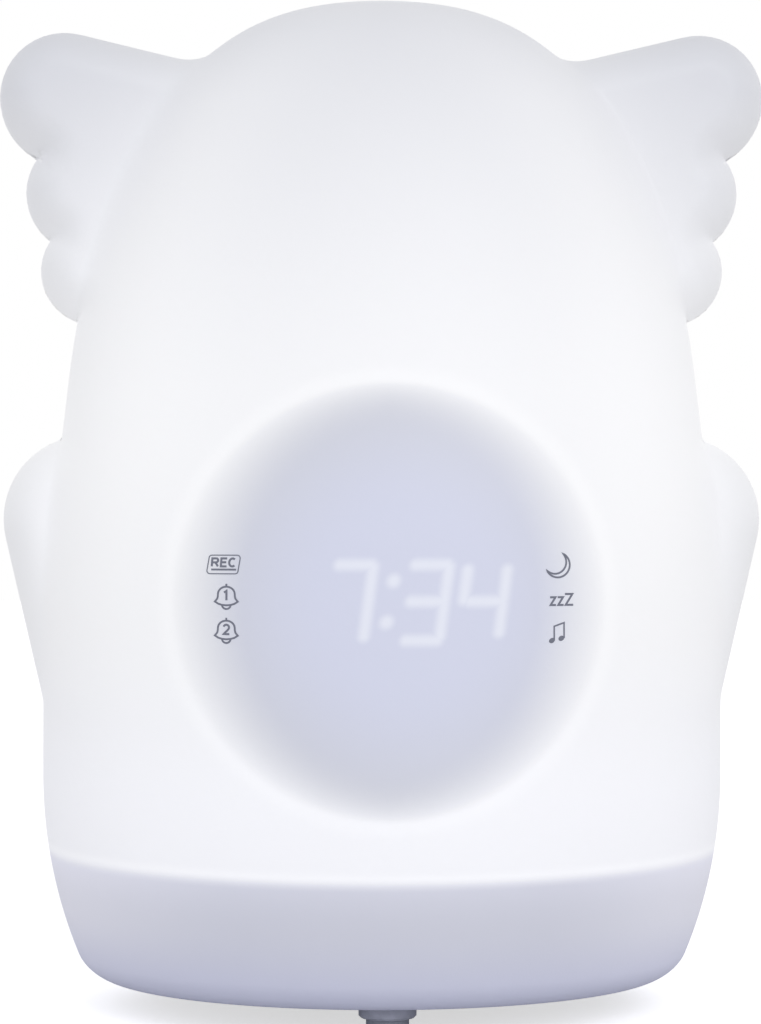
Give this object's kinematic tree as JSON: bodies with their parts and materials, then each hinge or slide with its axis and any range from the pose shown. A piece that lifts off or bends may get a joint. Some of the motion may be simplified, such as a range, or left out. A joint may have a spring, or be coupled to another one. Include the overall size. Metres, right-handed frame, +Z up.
{
  "type": "kids alarm clock with night light",
  "caption": "Milky night light in a plump animal outline with scalloped ears, a round clock display in the belly, keys behind and a press foot.",
  "frame": {"origin": "centre of the bounding box at its bottom, on the table under the lamp", "axes": "+Z up to the crown, -Y out of the clock's face, +X to the viewer's right"},
  "size_m": [0.152, 0.1143, 0.1988],
  "materials": {
    "milk_shell": "milky translucent moulding, fine satin texture",
    "inner_white": "white opaque moulding",
    "base_grey": "pale grey satin moulding",
    "panel_white": "pale grey satin moulding",
    "key_lilac": "grey satin keys",
    "collar_grey": "grey satin moulding",
    "plunger_grey": "dark grey soft cap",
    "foot_rubber": "dark grey rubber",
    "screw_steel": "plated steel",
    "spring_steel": "bright drawn steel",
    "switch_black": "black moulding",
    "digit_black": "dark grey moulding",
    "cell_case": "plain coated cell",
    "paper_cone": "treated paper",
    "board_green": "green solder mask",
    "board_white": "white solder mask",
    "lamp_resin": "milky lamp resin",
    "ribbon_grey": "flat cable"
  },
  "bodies": {
    "housing": {"front_shell": "milk_shell", "rear_shell": "milk_shell", "light_deck": "inner_white", "base_plate": "base_grey", "base_screws": "screw_steel", "rear_feet": "foot_rubber", "foot_collar": "collar_grey", "foot_spring": "spring_steel", "foot_bracket": "inner_white", "foot_switch": "switch_black", "battery_door": "base_grey", "door_screw": "screw_steel", "battery_cells": "cell_case", "battery_contacts": "spring_steel", "speaker_frame": "switch_black", "speaker_cone": "paper_cone", "speaker_magnet": "spring_steel", "main_board": "board_green", "board_screws": "screw_steel", "board_parts": "switch_black", "power_socket": "switch_black", "socket_pin": "spring_steel", "light_board": "board_white", "light_screws": "screw_steel", "night_leds": "lamp_resin", "display_drum": "inner_white", "drum_screws": "screw_steel", "display_board": "board_green", "digit_housing": "digit_black", "digit_lenses": "lamp_resin", "lamp_tubes": "inner_white", "mode_lamps": "lamp_resin", "display_cable": "ribbon_grey", "control_panel": "panel_white", "key_board": "board_green", "key_switches": "switch_black", "panel_screws": "screw_steel", "microphone": "spring_steel", "panel_cable": "ribbon_grey"},
    "front_foot": {"foot_plunger": "plunger_grey"},
    "key_light_button": {"key_light": "key_lilac"},
    "key_music_button": {"key_music": "key_lilac"},
    "key_record_button": {"key_record": "key_lilac"},
    "key_sleep_button": {"key_sleep": "key_lilac"},
    "key_time_button": {"key_time": "key_lilac"},
    "key_alarm_button": {"key_alarm": "key_lilac"},
    "key_minus_button": {"key_minus": "key_lilac"},
    "key_plus_button": {"key_plus": "key_lilac"}
  },
  "joints": [
    {"name": "front_foot_press", "type": "slide", "parent": "housing", "child": "front_foot", "axis": [0, 0, 1], "range_m": [0, 0.0012], "stiffness_N_per_m": 1500, "springref_m": -0.004, "deforming": ["foot_spring"]},
    {"name": "key_light_press", "type": "slide", "parent": "housing", "child": "key_light_button", "axis": [0, -1, 0], "range_m": [0, 0.0008], "stiffness_N_per_m": 900, "springref_m": -0.0004},
    {"name": "key_music_press", "type": "slide", "parent": "housing", "child": "key_music_button", "axis": [0, -1, 0], "range_m": [0, 0.0008], "stiffness_N_per_m": 900, "springref_m": -0.0004},
    {"name": "key_record_press", "type": "slide", "parent": "housing", "child": "key_record_button", "axis": [0, -1, 0], "range_m": [0, 0.0008], "stiffness_N_per_m": 900, "springref_m": -0.0004},
    {"name": "key_sleep_press", "type": "slide", "parent": "housing", "child": "key_sleep_button", "axis": [0, -1, 0], "range_m": [0, 0.0008], "stiffness_N_per_m": 900, "springref_m": -0.0004},
    {"name": "key_time_press", "type": "slide", "parent": "housing", "child": "key_time_button", "axis": [0, -1, 0], "range_m": [0, 0.0008], "stiffness_N_per_m": 900, "springref_m": -0.0004},
    {"name": "key_alarm_press", "type": "slide", "parent": "housing", "child": "key_alarm_button", "axis": [0, -1, 0], "range_m": [0, 0.0008], "stiffness_N_per_m": 900, "springref_m": -0.0004},
    {"name": "key_minus_press", "type": "slide", "parent": "housing", "child": "key_minus_button", "axis": [0, -1, 0], "range_m": [0, 0.0008], "stiffness_N_per_m": 900, "springref_m": -0.0004},
    {"name": "key_plus_press", "type": "slide", "parent": "housing", "child": "key_plus_button", "axis": [0, -1, 0], "range_m": [0, 0.0008], "stiffness_N_per_m": 900, "springref_m": -0.0004}
  ]
}
